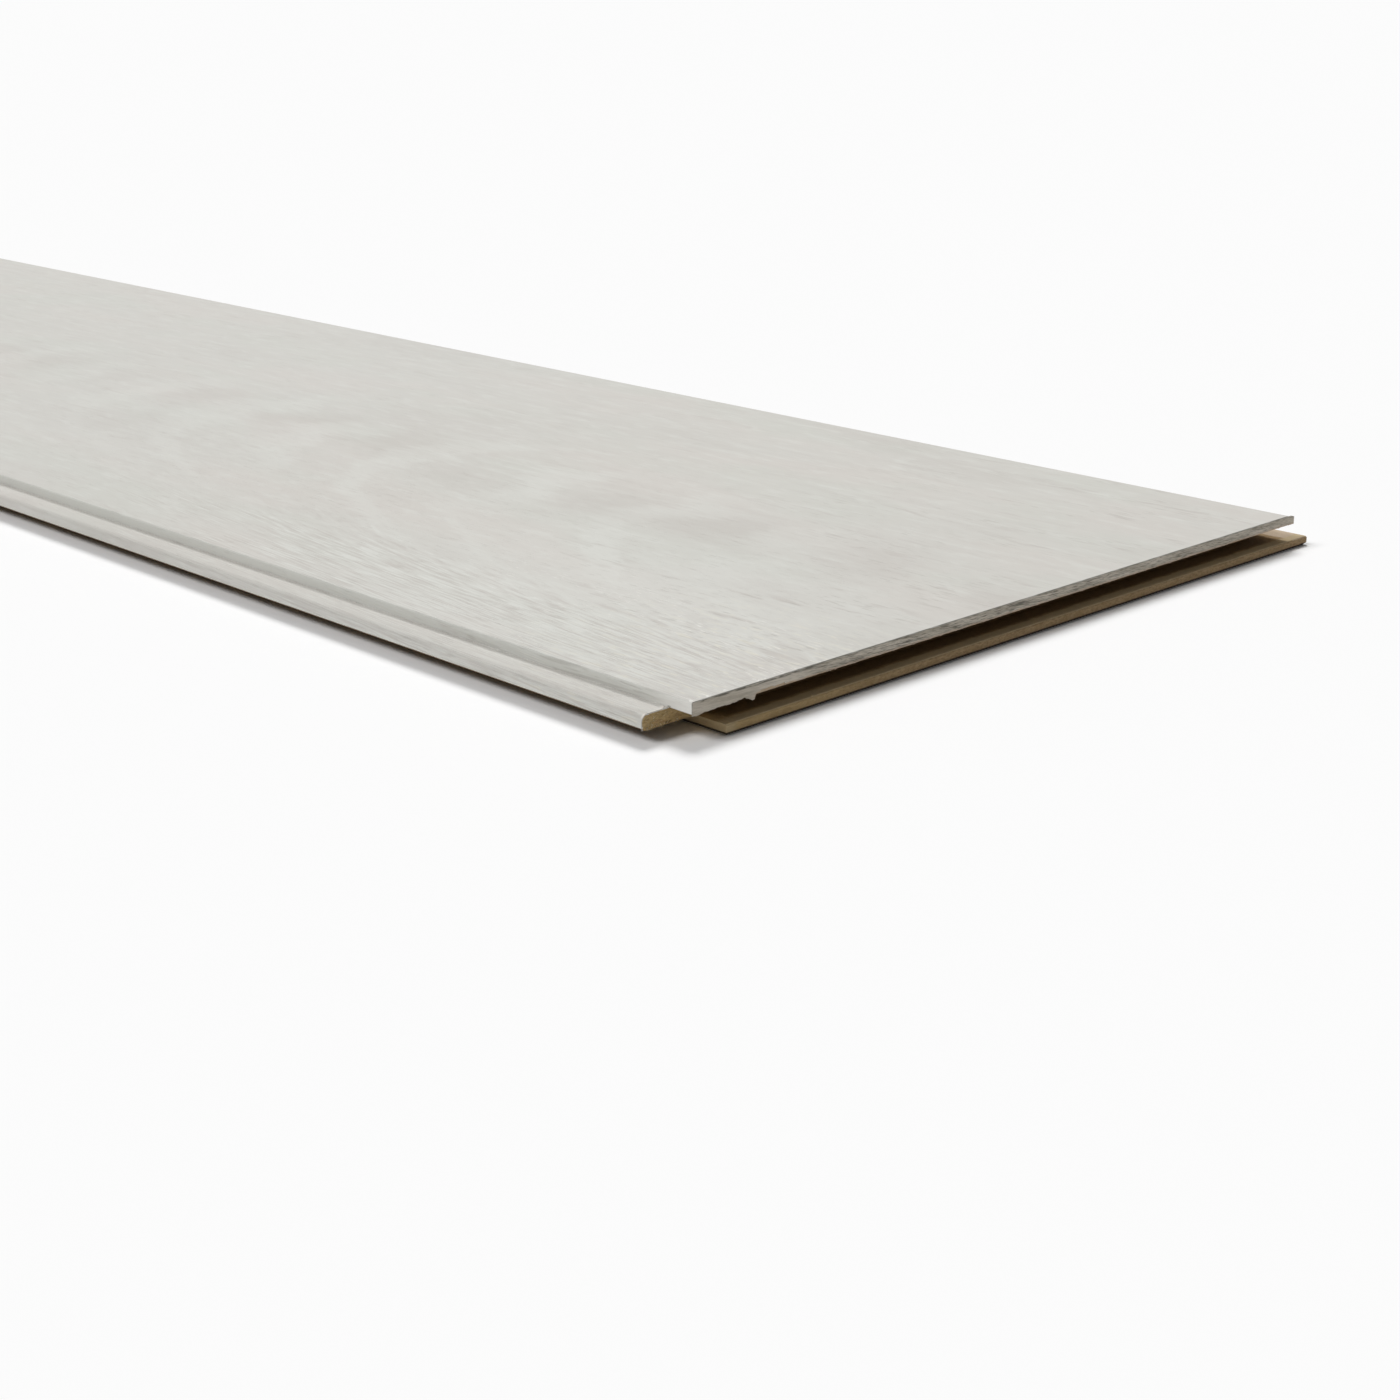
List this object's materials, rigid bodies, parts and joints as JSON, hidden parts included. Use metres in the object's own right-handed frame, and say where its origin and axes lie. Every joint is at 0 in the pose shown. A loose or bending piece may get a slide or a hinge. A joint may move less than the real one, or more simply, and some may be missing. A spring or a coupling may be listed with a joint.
{
  "type": "tongue-and-groove ceiling panel",
  "caption": "Flat fibreboard plank for ceilings and walls, wrapped in pale limed-oak decor foil, with tongue on one long side and end, and groove on the others.",
  "frame": {"origin": "middle of the whole plank's footprint, tongues and lips included, on its underside", "axes": "+X along the plank towards its groove end, +Y across it towards its long groove, +Z out of the decor face"},
  "size_m": [1.3072, 0.2128, 0.008],
  "materials": {
    "fibreboard": "raw milled medium-density fibreboard, mid brown and slightly furry",
    "decor": "matt printed foil, pale grey limed oak with fine embossed pores",
    "end_decor": "matt printed foil strip, grey-brown oak with dark streaks along it"
  },
  "bodies": {
    "root": {"mdf_board": "fibreboard", "decor_foil": "decor", "groove_end_strip": "end_decor", "tongue_end_strip": "end_decor"}
  },
  "joints": []
}
